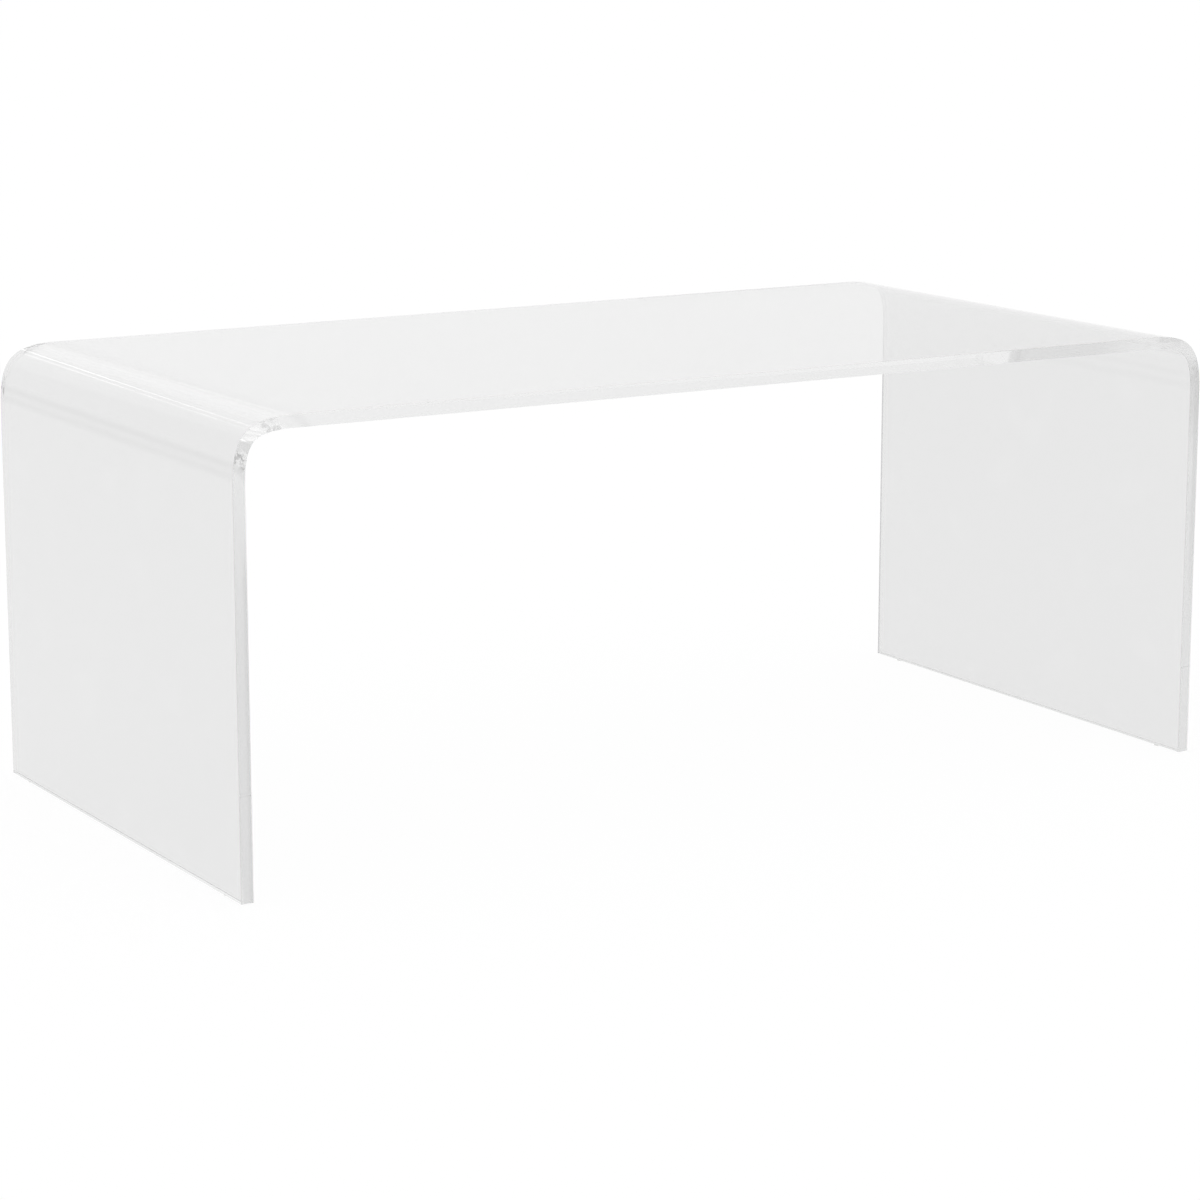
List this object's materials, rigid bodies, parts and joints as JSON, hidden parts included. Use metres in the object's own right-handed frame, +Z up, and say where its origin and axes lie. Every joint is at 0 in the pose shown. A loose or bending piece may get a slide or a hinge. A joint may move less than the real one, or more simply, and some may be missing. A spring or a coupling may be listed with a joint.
{
  "type": "waterfall coffee table",
  "caption": "Clear waterfall coffee table: one heat-bent acrylic sheet folds down at both ends to form the top and the legs, with clear bumper pads under the feet.",
  "frame": {"origin": "on the floor, under the centre of the top", "axes": "+X along the length, over the two legs; +Y along the depth of the sheet, from the front edge to the back edge; +Z up"},
  "size_m": [1.067, 0.533, 0.432],
  "materials": {
    "clear_acrylic": "clear cast acrylic, factory-gloss faces, flame-polished edges",
    "clear_polyurethane": "clear moulded polyurethane, satin"
  },
  "bodies": {
    "root": {"acrylic_sheet": "clear_acrylic", "bumper_front_left": "clear_polyurethane", "bumper_front_right": "clear_polyurethane", "bumper_back_left": "clear_polyurethane", "bumper_back_right": "clear_polyurethane"}
  },
  "joints": []
}
